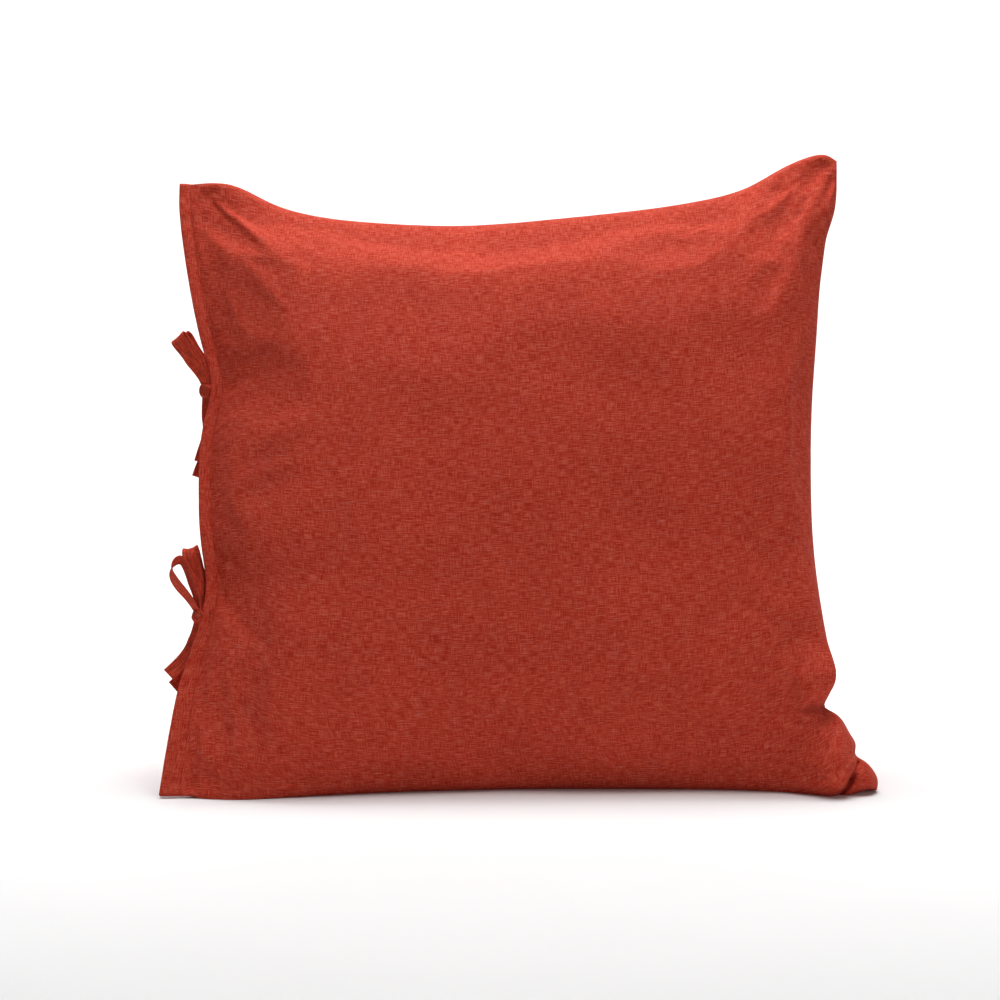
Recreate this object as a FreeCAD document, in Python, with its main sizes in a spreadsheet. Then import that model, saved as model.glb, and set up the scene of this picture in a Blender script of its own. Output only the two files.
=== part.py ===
import FreeCAD, Part

import math
import os
import sys

import Sketcher

# Square floor cushion standing on its bottom edge and leaning back a little.
# +X is to the right, +Y to the back and +Z up, in millimetres. The origin is on the floor, in the
# middle of the flattened bottom. The opening edge, with its two bows, is the left one (-X).

Vector = FreeCAD.Vector
Rotation = FreeCAD.Rotation
Placement = FreeCAD.Placement

doc = FreeCAD.newDocument("floor_cushion")
sheet = doc.addObject("Spreadsheet::Sheet", "Sizes")

SIZES = {
    # the four corners of the cover
    "left_bottom_x": -290.5,
    "left_bottom_y": -113.0,
    "left_top_x": -296.5,
    "left_top_y": 71.0,
    "left_top_z": 502.0,
    "right_bottom_x": 290.5,
    "right_bottom_y": -83.0,
    "right_top_x": 276.5,
    "right_top_y": 73.0,
    "right_top_z": 527.0,
    "corner_lift": 3.0,
    # how far the edges are drawn in between the corners
    "left_sag": 33.0,
    "right_sag": 36.0,
    "top_sag": 50.0,
    "bottom_set_back": 105.0,
    "bottom_dip": 12.0,
    "top_set_back": -6.0,
    # fill
    "lean_deg": 11.5,
    "front_crown": 103.0,
    "back_crown": 92.0,
    "fill_sag": 0.28,
    "edge_fullness": 0.5,
    "front_foot": 25.0,
    "back_foot": 95.0,
    # cloth and layers
    "cloth": 1.0,
    "insert_gap": 3.0,
    "seam_half_gap": 0.7,
    "casing": 0.6,
    "fill_gap": 0.3,
    # opening hems
    "hem_width": 12.0,
    "hem_thickness": 1.4,
    "hem_half_gap": 1.8,
    "hem_clearance": 0.3,
    "topstitch_inset": 2.4,
    "topstitch_width": 0.8,
    "topstitch_height": 0.4,
    # seam threads
    "thread_radius": 0.4,
    "thread_offset": 0.7,
    # ties and bows
    "tie_width": 12.5,
    "tie_thickness": 0.8,
    "tie_sewn_length": 10.0,
    "knot_reach": 4.6,
    "knot_length": 8.0,
    "knot_height": 12.0,
    "knot_depth": 11.0,
    "knot_round": 3.0,
    "root_half_gap": 0.9,
    "root_clearance": 0.1,
    "upper_bow_place": 0.65,
    "lower_bow_place": 0.29,
    "ribbon_start": 8.8,
    "loop_length": 50.0,
    "loop_radius": 5.0,
    "loop_root": 1.3,
    "tail_length": 62.0,
    "tail_bend_radius": 120.0,
    "tack_inset": 5.0,
    "tack_width": 9.0,
    "tack_height": 1.0,
    "tack_depth": 0.4,
}

for row, (alias, value) in enumerate(SIZES.items(), start=1):
    sheet.set(f"A{row}", alias)
    sheet.set(f"B{row}", str(value))
    sheet.setAlias(f"B{row}", alias)
doc.recompute()


def size(alias):
    """The value of one driving dimension."""
    return float(getattr(sheet, alias))


def bind(thing, path, formula):
    """Bind a property to a formula in which each @name is a cell of the sheet."""
    thing.setExpression(path, formula.replace("@", "Sizes."))


# ---------------------------------------------------------------- the shape of the soft body

POLES = 11
DEGREE = 3

LEAN = math.radians(size("lean_deg"))
FORWARD = Vector(0, -math.cos(LEAN), math.sin(LEAN))

LEFT_BOTTOM = Vector(size("left_bottom_x"), size("left_bottom_y"), size("corner_lift"))
LEFT_TOP = Vector(size("left_top_x"), size("left_top_y"), size("left_top_z"))
RIGHT_BOTTOM = Vector(size("right_bottom_x"), size("right_bottom_y"), size("corner_lift"))
RIGHT_TOP = Vector(size("right_top_x"), size("right_top_y"), size("right_top_z"))

LEFT_SAG = Vector(size("left_sag"), 0, 0)
RIGHT_SAG = Vector(-size("right_sag"), 0, 0)
TOP_SAG = Vector(0, size("top_set_back"), -size("top_sag"))
BOTTOM_SAG = Vector(0, size("bottom_set_back"), -size("bottom_dip"))


def along(start, end, sag, t):
    """A point on a parabola from start to end, drawn off the straight line by sag in the middle."""
    return start + (end - start) * t + sag * (4 * t * (1 - t))


def stations():
    """Places from 0 to 1, closer together near both ends, where a crowned panel turns."""
    return [(1 - math.cos(math.pi * i / (POLES - 1))) / 2 for i in range(POLES)]


def clamped_knots():
    """Knots and multiplicities of a uniform clamped spline with POLES poles."""
    spans = POLES - DEGREE
    knots = [float(i) for i in range(spans + 1)]
    multiplicities = [DEGREE + 1] + [1] * (spans - 1) + [DEGREE + 1]
    return knots, multiplicities


def spline(points):
    """A smooth curve that starts and ends on the first and last pole."""
    knots, multiplicities = clamped_knots()
    curve = Part.BSplineCurve()
    curve.buildFromPolesMultsKnots(points, multiplicities, knots, False, DEGREE)
    return curve


HEM = size("hem_width") + size("hem_clearance")


def middle_point(u, v, inset):
    """A point of the surface halfway between the panels: u from left to right, v from bottom to top."""
    low_left = LEFT_BOTTOM + Vector(HEM + inset, 0, inset)
    low_right = RIGHT_BOTTOM + Vector(-inset, 0, inset)
    high_left = LEFT_TOP + Vector(HEM + inset, 0, -inset)
    high_right = RIGHT_TOP - Vector(inset, 0, inset)
    left = along(low_left, high_left, LEFT_SAG, v)
    right = along(low_right, high_right, RIGHT_SAG, v)
    bottom = along(low_left, low_right, BOTTOM_SAG, u)
    top = along(high_left, high_right, TOP_SAG, u)
    across = left * (1 - u) + right * u
    upward = bottom * (1 - v) + top * v
    corners = (low_left * (1 - u) + low_right * u) * (1 - v) + (high_left * (1 - u) + high_right * u) * v
    return across + upward - corners


def fullness(i, j):
    """How much of the crown a pole has: 0 on the edges, most below the middle, blunt at the floor."""
    s = i / (POLES - 1)
    t = j / (POLES - 1)
    sunk = t ** (1 - size("fill_sag"))
    blunt = size("edge_fullness") + (1 - size("edge_fullness")) * t
    sideways = math.sin(math.pi * s) ** 0.9
    upright = max(math.sin(math.pi * sunk), 0.0) ** blunt
    return sideways * upright


def rest_on_floor(point, sign):
    """Flatten what would hang low onto the floor, further at the back than at the front."""
    height = size("front_foot") if sign > 0 else size("back_foot")
    if point.z < height:
        return Vector(point.x, point.y, 0)
    return point


def crowned_grid(sign):
    """Poles of the outer face of the front (1) or back (-1) panel."""
    crown = size("front_crown") if sign > 0 else size("back_crown")
    grid = []
    for i, u in enumerate(stations()):
        line = []
        for j, v in enumerate(stations()):
            point = middle_point(u, v, 0.0) + FORWARD * (sign * crown * fullness(i, j))
            on_edge = i in (0, POLES - 1)
            line.append(point if on_edge else rest_on_floor(point, sign))
        grid.append(line)
    return grid


def outward(grid, sign, i, j):
    """The unit normal of a grid at one of its poles, pointing out of the cushion."""
    last = POLES - 1
    sideways = grid[min(i + 1, last)][j] - grid[max(i - 1, 0)][j]
    upright = grid[i][min(j + 1, last)] - grid[i][max(j - 1, 0)]
    return sideways.cross(upright).normalize() * sign


def set_in_grid(sign, inset, half_gap):
    """Poles of the face set in below a panel's outer face, with its border half_gap off the middle."""
    outer = crowned_grid(sign)
    last = POLES - 1
    grid = []
    for i, u in enumerate(stations()):
        line = []
        for j, v in enumerate(stations()):
            if i in (0, last) or j in (0, last):
                point = middle_point(u, v, inset) + FORWARD * (sign * half_gap)
                if j == 0 and i not in (0, last):
                    point.z = inset
                line.append(point)
            else:
                line.append(outer[i][j] - outward(outer, sign, i, j) * inset)
        grid.append(line)
    return grid


def surface(grid):
    """The smooth face of a grid of poles."""
    knots, multiplicities = clamped_knots()
    face = Part.BSplineSurface()
    face.buildFromPolesMultsKnots(
        grid, multiplicities, multiplicities, knots, knots, False, False, DEGREE, DEGREE
    )
    return face.toShape()


def borders(grid):
    """The poles of a grid's four edges: bottom, top, left and right."""
    bottom = [line[0] for line in grid]
    top = [line[-1] for line in grid]
    return [bottom, top, grid[0], grid[-1]]


def strip(first, second):
    """The narrow face between two edge curves, straight across from pole to pole."""
    knots, multiplicities = clamped_knots()
    face = Part.BSplineSurface()
    poles = [list(pair) for pair in zip(first, second)]
    face.buildFromPolesMultsKnots(poles, multiplicities, [2, 2], knots, [0.0, 1.0], False, False, DEGREE, 1)
    return face.toShape()


def closed_solid(faces):
    """The solid inside faces that meet along shared edges."""
    shell = Part.makeShell(faces)
    shell.sewShape()
    solid = Part.makeSolid(Part.Shell(shell.Faces))
    if solid.Volume < 0:
        solid.reverse()
    return solid


def layer(sign, outer_inset, inner_inset):
    """A panel of cloth: an outer and an inner crowned face joined by a narrow ring at the seams."""
    outer = set_in_grid(sign, outer_inset, size("seam_half_gap"))
    inner = set_in_grid(sign, inner_inset, size("seam_half_gap"))
    ring = [strip(a, b) for a, b in zip(borders(outer), borders(inner))]
    return closed_solid([surface(outer), surface(inner)] + ring)


def filling(inset):
    """The solid between the front and back faces that are set in by inset."""
    return closed_solid([surface(set_in_grid(sign, inset, 0.0)) for sign in (1, -1)])


def soft_part(name, shape):
    """Put a freely shaped soft piece in the document."""
    piece = doc.addObject("Part::Feature", name)
    piece.Label = name
    piece.Shape = shape
    piece.Placement = Placement()
    return piece


def cover_panels():
    """The cover's front and back panel, each a shell of cloth that ends in the seams."""
    return [
        soft_part("front_panel", layer(1, 0.0, size("cloth"))),
        soft_part("back_panel", layer(-1, 0.0, size("cloth"))),
    ]


def insert_pieces():
    """The pillow inside the cover: two casing panels around the fibre fill."""
    casing = size("cloth") + size("insert_gap")
    lining = casing + size("casing")
    return [
        soft_part("insert_front_casing", layer(1, casing, lining)),
        soft_part("insert_back_casing", layer(-1, casing, lining)),
        soft_part("insert_fill", filling(lining + size("fill_gap"))),
    ]


# ---------------------------------------------------------------- seams

def thread(name, place, across):
    """A square-section line of stitches along an edge, with its corners set off along across and +Y."""
    half_width = size("thread_radius")
    corners = []
    for first, second in ((-1, -1), (1, -1), (1, 1), (-1, 1)):
        offset = across * (first * half_width) + Vector(0, second * half_width, 0)
        corners.append([place(share) + offset for share in stations()])
    faces = []
    for index, line in enumerate(corners):
        faces.append(strip(line, corners[(index + 1) % len(corners)]))
    for end in (0, -1):
        ring = [line[end] for line in corners]
        faces.append(Part.Face(Part.makePolygon(ring + ring[:1])))
    return soft_part(name, closed_solid(faces))


def seam_threads():
    """The lock-stitched seams of the cover's closed sides and the whip stitch that closes the insert."""
    out = size("thread_offset")
    between = size("cloth") + size("insert_gap") / 2
    seam_end = 0.2

    def side(v):
        return middle_point(1, v, 0.0) + Vector(out, 0, 0)

    def top(u):
        return middle_point(u, 1, 0.0) + Vector(0, 0, out)

    def bottom(u):
        place = middle_point(seam_end + (1 - 2 * seam_end) * u, 0, 0.0)
        return Vector(place.x, place.y, between)

    def insert_opening(v):
        return middle_point(0, v, between)

    right = Vector(1, 0, 0)
    up = Vector(0, 0, 1)
    return [
        thread("side_seam_thread", side, right),
        thread("top_seam_thread", top, up),
        thread("bottom_seam_thread", bottom, up),
        thread("insert_closing_stitch", insert_opening, right),
    ]


# ---------------------------------------------------------------- the opening edge

LEFT_LINE = LEFT_TOP - LEFT_BOTTOM
EDGE_TILT = math.degrees(math.atan2(LEFT_LINE.y, LEFT_LINE.z))
# The opening edge lies in one upright plane that leans back. In its own frame x is to the right,
# y to the back and z up along the plane.
EDGE_FRAME = Placement(Vector(0, LEFT_BOTTOM.y, LEFT_BOTTOM.z), Rotation(Vector(1, 0, 0), -EDGE_TILT))


def in_edge_frame(point):
    """A point of the row frame in the opening edge's own frame."""
    return EDGE_FRAME.inverse().multVec(point)


def edge_outline(shift):
    """Poles of the opening edge, moved to the right by shift, as sketch points."""
    points = []
    for v in stations():
        local = in_edge_frame(along(LEFT_BOTTOM, LEFT_TOP, LEFT_SAG, v) + Vector(shift, 0, 0))
        points.append(Vector(local.x, local.z, 0))
    return points


def plane(body, role):
    """One of a body's own origin planes."""
    return next(p for p in body.Origin.OriginFeatures if p.Role == role)


def new_body(name):
    """An empty body whose label names the piece."""
    body = doc.addObject("PartDesign::Body", name)
    body.Label = name
    return body


def new_sketch(body, name, role):
    """A sketch on one of the body's origin planes."""
    sketch = body.newObject("Sketcher::SketchObject", name)
    sketch.AttachmentSupport = [(plane(body, role), "")]
    sketch.MapMode = "FlatFace"
    return sketch


def band_sketch(body, name, low_shift, high_shift):
    """A closed band that follows the opening edge between two distances from it."""
    sketch = new_sketch(body, name, "XZ_Plane")
    left = edge_outline(low_shift)
    right = edge_outline(high_shift)
    sketch.addGeometry(spline(left))
    sketch.addGeometry(Part.LineSegment(left[-1], right[-1]))
    sketch.addGeometry(spline(right))
    sketch.addGeometry(Part.LineSegment(right[0], left[0]))
    for geometry in range(4):
        sketch.addConstraint(Sketcher.Constraint("Block", geometry))
    return sketch


def edge_band(name, low_shift, high_shift, thickness, distance, sign):
    """A band of cloth or stitches along the edge, padded away from the opening's middle plane."""
    body = new_body(name)
    sketch = band_sketch(body, name + "_outline", low_shift, high_shift)
    pad = body.newObject("PartDesign::Pad", name + "_pad")
    pad.Profile = sketch
    bind(pad, "Length", thickness)
    pad.Reversed = sign > 0
    bind(sketch, "AttachmentOffset.Base.z", f"{-sign} * ({distance})")
    body.Placement = EDGE_FRAME
    return body


def hems():
    """Front and back hem of the opening, each with its line of topstitching on the outer face."""
    made = []
    width = size("hem_width")
    stitch_high = width - size("topstitch_inset")
    stitch_low = stitch_high - size("topstitch_width")
    for side, sign in (("front", -1), ("back", 1)):
        made.append(
            edge_band(f"{side}_hem", 0.0, width, "@hem_thickness", "@hem_half_gap", sign)
        )
        made.append(
            edge_band(
                f"{side}_hem_thread",
                stitch_low,
                stitch_high,
                "@topstitch_height",
                "@hem_half_gap + @hem_thickness",
                sign,
            )
        )
    return made


# ---------------------------------------------------------------- bows

def edge_point(place):
    """The point of the opening edge at a share of its height, in the edge's own frame."""
    curve = spline(edge_outline(0.0))
    low, high = curve.FirstParameter, curve.LastParameter
    target = curve.value(low).y + place * (curve.value(high).y - curve.value(low).y)
    for _ in range(60):
        middle = (low + high) / 2
        if curve.value(middle).y < target:
            low = middle
        else:
            high = middle
    point = curve.value(low)
    return Vector(point.x, 0, point.y)


def knot_centre(bow):
    """The middle of a bow's knot, in the edge's own frame."""
    point = edge_point(size(f"{bow}_bow_place"))
    return point - Vector(size("knot_reach"), 0, 0)


def box(body, name, length, width, height, low_y):
    """A box in a body, centred on its height, that starts at low_y and at the formulas' low x."""
    block = body.newObject("PartDesign::AdditiveBox", name)
    block.AttachmentSupport = [(plane(body, "XY_Plane"), "")]
    block.MapMode = "FlatFace"
    bind(block, "Length", length[1])
    bind(block, "Width", width)
    bind(block, "Height", height)
    bind(block, "AttachmentOffset.Base.x", length[0])
    bind(block, "AttachmentOffset.Base.y", low_y)
    bind(block, "AttachmentOffset.Base.z", f"-({height}) / 2")
    doc.recompute()
    return block


def knot(bow):
    """The tight wrap of cloth in the middle of a bow, with well rounded edges."""
    body = new_body(f"{bow}_knot")
    length = ("-@knot_length / 2", "@knot_length")
    block = box(body, f"{bow}_knot_block", length, "@knot_depth", "@knot_height", "-@knot_depth / 2")
    rounding = body.newObject("PartDesign::Fillet", f"{bow}_knot_rounding")
    rounding.Base = (block, [f"Edge{i + 1}" for i in range(len(block.Shape.Edges))])
    bind(rounding, "Radius", "@knot_round")
    body.Placement = EDGE_FRAME.multiply(Placement(knot_centre(bow), Rotation()))
    return body


def tie_root(bow, side, sign):
    """The sewn end of a tie: a flat strip from between the hems to the face of the knot."""
    body = new_body(f"{bow}_{side}_tie_root")
    length = ("@knot_length / 2 + @root_clearance", "@tie_sewn_length + @knot_reach - @knot_length / 2")
    low_y = "@root_half_gap" if sign > 0 else "-@root_half_gap - @tie_thickness"
    box(body, f"{bow}_{side}_tie_root_strip", length, "@tie_thickness", "@tie_width", low_y)
    body.Placement = EDGE_FRAME.multiply(Placement(knot_centre(bow), Rotation()))
    return body


def close_chain(sketch, chain, kinds):
    """Join a ring of edges end to end. Each entry of chain is (edge, end point, next edge, its point)."""
    for kind, (edge, end, following, start) in zip(kinds, chain):
        sketch.addConstraint(Sketcher.Constraint(kind, edge, end, following, start))


def dimension(sketch, name, kind, where, value, formula):
    """A named dimension of a sketch, bound to the sheet."""
    number = sketch.addConstraint(Sketcher.Constraint(kind, *where, value))
    sketch.renameConstraint(number, name)
    bind(sketch, f"Constraints.{name}", formula)


def tangent_point(root, reach, radius):
    """Where a line from (0, root) touches a circle of this radius about (reach, 0) on its upper side."""
    away = math.hypot(reach, root)
    length = math.sqrt(away**2 - radius**2)
    angle = math.atan2(-root, reach) + math.asin(radius / away)
    return Vector(length * math.cos(angle), root + length * math.sin(angle), 0)


def round_tip(reach, radius, touch):
    """The round end of a loop between its two tangent points."""
    circle = Part.Circle(Vector(reach, 0, 0), Vector(0, 0, 1), radius)
    angle = math.atan2(touch.y, touch.x - reach)
    return Part.ArcOfCircle(circle, -angle, angle)


def loop_profile(sketch):
    """A ribbon seen from its side: out from the knot, round a tip and back, open at the knot."""
    root = size("loop_root")
    inner_root = root - size("tie_thickness")
    radius = size("loop_radius")
    inner_radius = radius - size("tie_thickness")
    reach = size("loop_length") - radius
    touch = tangent_point(root, reach, radius)
    inner_touch = tangent_point(inner_root, reach, inner_radius)
    low_touch = Vector(touch.x, -touch.y, 0)
    low_inner_touch = Vector(inner_touch.x, -inner_touch.y, 0)
    sketch.addGeometry(round_tip(reach, radius, touch))
    sketch.addGeometry(Part.LineSegment(touch, Vector(0, root, 0)))
    sketch.addGeometry(Part.LineSegment(Vector(0, root, 0), Vector(0, inner_root, 0)))
    sketch.addGeometry(Part.LineSegment(Vector(0, inner_root, 0), inner_touch))
    sketch.addGeometry(round_tip(reach, inner_radius, inner_touch))
    sketch.addGeometry(Part.LineSegment(low_inner_touch, Vector(0, -inner_root, 0)))
    sketch.addGeometry(Part.LineSegment(Vector(0, -inner_root, 0), Vector(0, -root, 0)))
    sketch.addGeometry(Part.LineSegment(Vector(0, -root, 0), low_touch))
    chain = [(0, 2, 1, 1), (1, 2, 2, 1), (2, 2, 3, 1), (3, 2, 4, 2)]
    chain += [(4, 1, 5, 1), (5, 2, 6, 1), (6, 2, 7, 1), (7, 2, 0, 1)]
    kinds = ["Tangent", "Coincident", "Coincident", "Tangent"] * 2
    close_chain(sketch, chain, kinds)
    constrain = sketch.addConstraint
    constrain(Sketcher.Constraint("PointOnObject", 0, 3, -1))
    constrain(Sketcher.Constraint("Coincident", 4, 3, 0, 3))
    constrain(Sketcher.Constraint("PointOnObject", 2, 1, -2))
    constrain(Sketcher.Constraint("PointOnObject", 2, 2, -2))
    constrain(Sketcher.Constraint("Symmetric", 1, 2, 7, 1, -1))
    constrain(Sketcher.Constraint("Symmetric", 2, 2, 6, 1, -1))
    dimension(sketch, "reach", "DistanceX", (-1, 1, 0, 3), reach, "@loop_length - @loop_radius")
    dimension(sketch, "tip", "Radius", (0,), radius, "@loop_radius")
    dimension(sketch, "inner_tip", "Radius", (4,), inner_radius, "@loop_radius - @tie_thickness")
    dimension(sketch, "root", "DistanceY", (7, 1, 1, 2), 2 * root, "2 * @loop_root")
    dimension(
        sketch, "inner_root", "DistanceY", (6, 1, 2, 2), 2 * inner_root, "2 * (@loop_root - @tie_thickness)"
    )


def tail_profile(sketch):
    """A ribbon end seen from its side: one gentle bend, cut square."""
    thickness = size("tie_thickness")
    outer = size("tail_bend_radius")
    inner = outer - thickness
    sweep = size("tail_length") / outer
    centre = Vector(0, outer - thickness / 2, 0)
    low = -math.pi / 2
    arcs = [Part.ArcOfCircle(Part.Circle(centre, Vector(0, 0, 1), r), low, low + sweep) for r in (outer, inner)]
    ends = [arc.toShape().Vertexes for arc in arcs]
    sketch.addGeometry(arcs[0])
    sketch.addGeometry(Part.LineSegment(ends[0][1].Point, ends[1][1].Point))
    sketch.addGeometry(arcs[1])
    sketch.addGeometry(Part.LineSegment(ends[1][0].Point, ends[0][0].Point))
    chain = [(0, 2, 1, 1), (1, 2, 2, 2), (2, 1, 3, 1), (3, 2, 0, 1)]
    close_chain(sketch, chain, ["Coincident"] * 4)
    constrain = sketch.addConstraint
    constrain(Sketcher.Constraint("Coincident", 2, 3, 0, 3))
    constrain(Sketcher.Constraint("PointOnObject", 0, 3, -2))
    constrain(Sketcher.Constraint("PointOnObject", 0, 1, -2))
    constrain(Sketcher.Constraint("PointOnObject", 2, 1, -2))
    constrain(Sketcher.Constraint("PointOnObject", 0, 3, 1))
    dimension(sketch, "bend", "Radius", (0,), outer, "@tail_bend_radius")
    dimension(sketch, "inner_bend", "Radius", (2,), inner, "@tail_bend_radius - @tie_thickness")
    dimension(
        sketch, "centre", "DistanceY", (-1, 1, 0, 3), centre.y, "@tail_bend_radius - @tie_thickness / 2"
    )


# Where each moving ribbon points from its knot and which way its width lies, in the edge's own
# frame, with how far its root stands off the knot's centre along its own thickness direction.
RIBBONS = {
    "upper_front_loop": ((-0.52, -0.22, 0.82), (0.80, 0.10, 0.55), -2.6),
    "upper_back_loop": ((-0.30, 0.20, 0.93), (0.92, 0.10, 0.30), 2.6),
    "upper_front_tail": ((-0.24, 0.22, -0.94), (0.97, 0.0, -0.24), 0.2),
    "upper_back_tail": ((-0.10, 0.44, -0.89), (0.99, 0.0, -0.10), 4.2),
    "lower_front_loop": ((-0.48, -0.05, 0.87), (0.10, -0.99, 0.0), -6.9),
    "lower_back_loop": ((-0.16, 0.06, 0.98), (0.10, -0.99, 0.0), 6.9),
    "lower_front_tail": ((-0.44, 0.05, -0.89), (0.15, -0.99, 0.0), -6.9),
    "lower_back_tail": ((-0.28, 0.10, -0.95), (0.15, -0.99, 0.0), 6.9),
}


def ribbon_placement(bow, direction, width, offset):
    """Place a ribbon so that it leaves its knot in a direction, set to the front or back by offset."""
    turn = Rotation(Vector(*direction), Vector(), Vector(*width), "XZY")
    root = knot_centre(bow) + Vector(*direction).normalize() * size("ribbon_start") + Vector(0, offset, 0)
    return EDGE_FRAME.multiply(Placement(root, turn))


def moving_ribbon(name):
    """One loop or one tail of a bow."""
    direction, width, offset = RIBBONS[name]
    bow = name.split("_")[0]
    body = new_body(name)
    sketch = new_sketch(body, name + "_outline", "XY_Plane")
    if name.endswith("loop"):
        loop_profile(sketch)
    else:
        tail_profile(sketch)
    pad = body.newObject("PartDesign::Pad", name + "_pad")
    pad.Profile = sketch
    pad.Midplane = True
    bind(pad, "Length", "@tie_width")
    body.Placement = ribbon_placement(bow, direction, width, offset)
    return body


def bar_tacks():
    """The four dense stitches that hold the ties, each on the outer face of its hem."""
    stack = size("hem_half_gap") + size("hem_thickness")
    blocks = []
    for bow in ("upper", "lower"):
        place = edge_point(size(f"{bow}_bow_place"))
        for side in (-1, 1):
            low_y = stack if side > 0 else -stack - size("tack_depth")
            corner = Vector(place.x + size("tack_inset"), low_y, place.z - size("tack_width") / 2)
            block = Part.makeBox(size("tack_height"), size("tack_depth"), size("tack_width"), corner)
            blocks.append(block)
    piece = soft_part("tie_bar_tacks", Part.makeCompound(blocks))
    piece.Placement = EDGE_FRAME
    return piece


def bows():
    """Both bows: for each one two sewn roots, a knot, two loops and two tails."""
    made = [bar_tacks()]
    for bow in ("upper", "lower"):
        made.append(knot(bow))
        made.append(tie_root(bow, "front", -1))
        made.append(tie_root(bow, "back", 1))
    made += [moving_ribbon(name) for name in RIBBONS]
    return made


# ---------------------------------------------------------------- build, test and write

def failed():
    """Objects that the document could not work out, and pieces with a broken shape."""
    states = [o.Label for o in doc.Objects if {"Invalid", "Error"} & set(o.State)]
    shapes = [p.Label for p in pieces if p.Shape.isNull() or not p.Shape.isValid() or not p.Shape.Solids]
    return states + shapes


def report_ribbons():
    """Print each moving ribbon's root and hinge direction, which the joints share."""
    for name, (direction, width, offset) in RIBBONS.items():
        placement = ribbon_placement(name.split("_")[0], direction, width, offset)
        axis = placement.Rotation.multVec(Vector(0, 0, 1))
        root = placement.Base
        print(name, "root", [round(c, 2) for c in root], "axis", [round(c, 4) for c in axis])


pieces = cover_panels() + insert_pieces() + seam_threads() + hems() + bows()
doc.recompute()
broken = failed()
if broken:
    sys.exit("failed: " + ", ".join(broken))
os.makedirs("parts", exist_ok=True)
for piece in pieces:
    piece.Shape.exportStep(f"parts/{piece.Label}.step")
report_ribbons()
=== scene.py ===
import math

import bpy
import numpy as np
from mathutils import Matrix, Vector, noise


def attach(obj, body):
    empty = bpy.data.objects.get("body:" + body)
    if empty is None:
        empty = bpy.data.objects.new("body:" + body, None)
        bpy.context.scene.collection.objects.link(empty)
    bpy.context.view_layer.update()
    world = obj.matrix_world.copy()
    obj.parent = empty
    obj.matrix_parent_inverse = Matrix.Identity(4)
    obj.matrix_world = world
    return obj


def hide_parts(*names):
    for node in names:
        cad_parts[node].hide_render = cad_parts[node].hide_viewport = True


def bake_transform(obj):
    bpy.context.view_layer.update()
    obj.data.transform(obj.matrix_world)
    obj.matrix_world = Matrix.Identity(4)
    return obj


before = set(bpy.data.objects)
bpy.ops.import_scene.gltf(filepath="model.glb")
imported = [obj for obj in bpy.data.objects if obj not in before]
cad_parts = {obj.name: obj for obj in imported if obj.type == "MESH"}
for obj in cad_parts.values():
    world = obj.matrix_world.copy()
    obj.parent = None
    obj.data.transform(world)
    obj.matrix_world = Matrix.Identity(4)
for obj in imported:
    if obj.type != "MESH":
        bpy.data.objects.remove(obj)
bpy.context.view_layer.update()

# Lengths below are in millimetres, in the CAD frame; MM turns them into metres.
MM = 0.001

# ---------------------------------------------------------------- outline of the cover
# The four edges of the cushion, each a smooth curve through a few points.

LEFT_EDGE = [
    (-293, -113, 2), (-289.5, -103, 28), (-284, -90, 63), (-279, -80, 88), (-268, -68, 122),
    (-261.5, -58, 148), (-259.5, -52, 163), (-263.5, -42, 196), (-267.5, -22, 250), (-265, -4, 298),
    (-260, 8, 329), (-266.5, 18, 358), (-280, 38, 412), (-288, 54, 456), (-291.5, 66, 488),
    (-291.5, 71, 501.5),
]
RIGHT_EDGE = [
    (297, -84, 1.5), (297.5, -82, 9), (293.5, -79, 17.5), (286, -77, 24.5), (279.5, -75, 29.5),
    (280, -73, 36),
    (276, -70, 45), (266, -66, 60), (259, -64, 64), (255, -63, 67), (257.5, -61, 74), (262.5, -58, 86),
    (260, -50, 112), (255, -42, 140), (249.5, -22, 190), (248, -4, 260), (250.5, 12, 320),
    (255.5, 27, 375), (259.5, 38, 418), (263, 46, 440), (266, 51, 456), (273, 58, 477),
    (276, 66, 503), (276.5, 71, 522),
]
TOP_EDGE = [
    (-291.5, 71, 501.5), (-257, 71, 501.5), (-222, 70, 486), (-192, 69, 476.5), (-120, 67, 468),
    (-58, 66, 466), (30, 66, 472), (110, 67, 480.5), (165, 68, 489.5), (197, 70, 499),
    (225, 72, 514), (250, 73, 525), (268, 73, 527), (276.5, 71, 522),
]
BOTTOM_EDGE = [
    (-293, -113, 2), (-262, -103, 1), (-220, -78, 0.5), (-150, -46, 0), (-70, -28, 0), (0, -20, 0),
    (100, -22, 0), (180, -32, 0.5), (232, -54, 1), (262, -74, 1), (297, -84, 2),
]

HEM_WIDTH = 12.0
HEM_WIDTH_LOW = 19.0
HEM_HALF = 1.7
HEM_RISE = 1.6
LEAN = math.radians(11.5)
FORWARD = np.array([0.0, -math.cos(LEAN), math.sin(LEAN)])
EDGE_TILT = math.atan2(191.0, 499.5)
EDGE_FORWARD = np.array([0.0, -math.cos(EDGE_TILT), math.sin(EDGE_TILT)])
FRONT_CROWN = 98.0
BACK_CROWN = 95.0


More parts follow.
